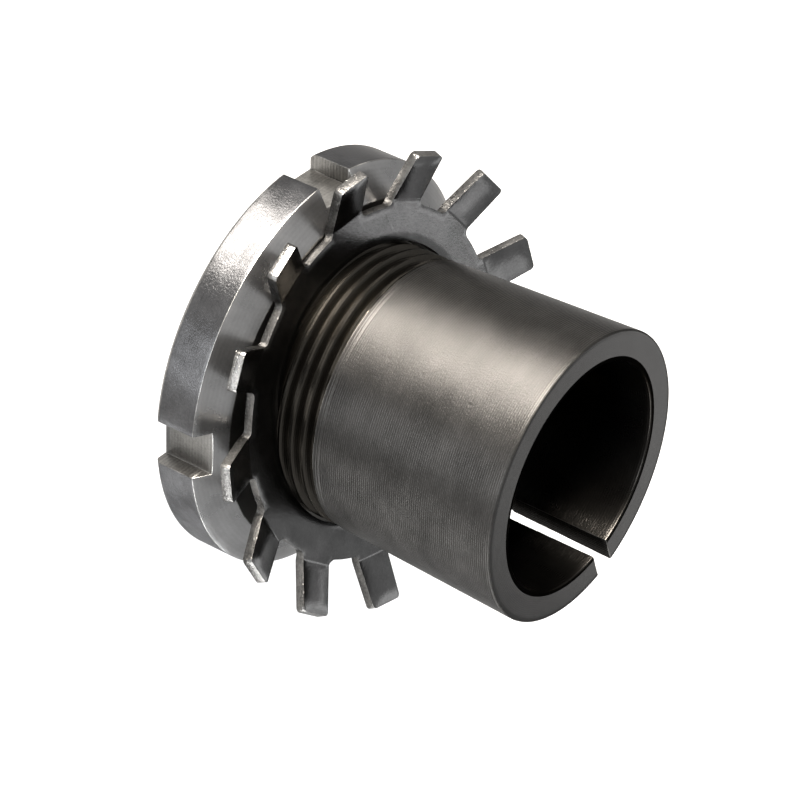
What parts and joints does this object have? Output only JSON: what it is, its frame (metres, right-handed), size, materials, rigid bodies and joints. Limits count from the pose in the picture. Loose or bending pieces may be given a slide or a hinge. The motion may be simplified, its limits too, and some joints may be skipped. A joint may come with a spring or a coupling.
{
  "type": "bearing adapter sleeve",
  "caption": "Split tapered steel sleeve with a threaded end, a loose tab washer and a round slotted lock nut, which clamps a tapered-bore bearing onto a plain shaft.",
  "frame": {"origin": "on the axis of the bore, in the plane of the nut's back face, on which the part stands", "axes": "+Z along the bore towards the sleeve's large end, +X through the slit, the keyway and the washer's inner tab"},
  "size_m": [0.0489, 0.0497, 0.037],
  "materials": {
    "sleeve_steel": "fine-turned steel, lightly oiled",
    "washer_steel": "rolled and sheared steel sheet, dull grey",
    "nut_steel": "turned dark steel with milled slots"
  },
  "bodies": {
    "sleeve": {"sleeve": "sleeve_steel"},
    "washer": {"lock_washer": "washer_steel"},
    "nut": {"lock_nut": "nut_steel"}
  },
  "joints": [
    {"name": "washer_slide", "type": "slide", "parent": "sleeve", "child": "washer", "axis": [0, 0, 1], "range_m": [-0.00151, 0.00151]},
    {"name": "nut_turn", "type": "hinge", "parent": "washer", "child": "nut", "pos_m": [0, 0, 0], "axis": [0, 0, 1], "range_deg": [-360, 360]}
  ],
  "couplings": [
    {"joint": "washer_slide", "follows": "nut_turn", "m_per_rad": 0.00023873}
  ]
}
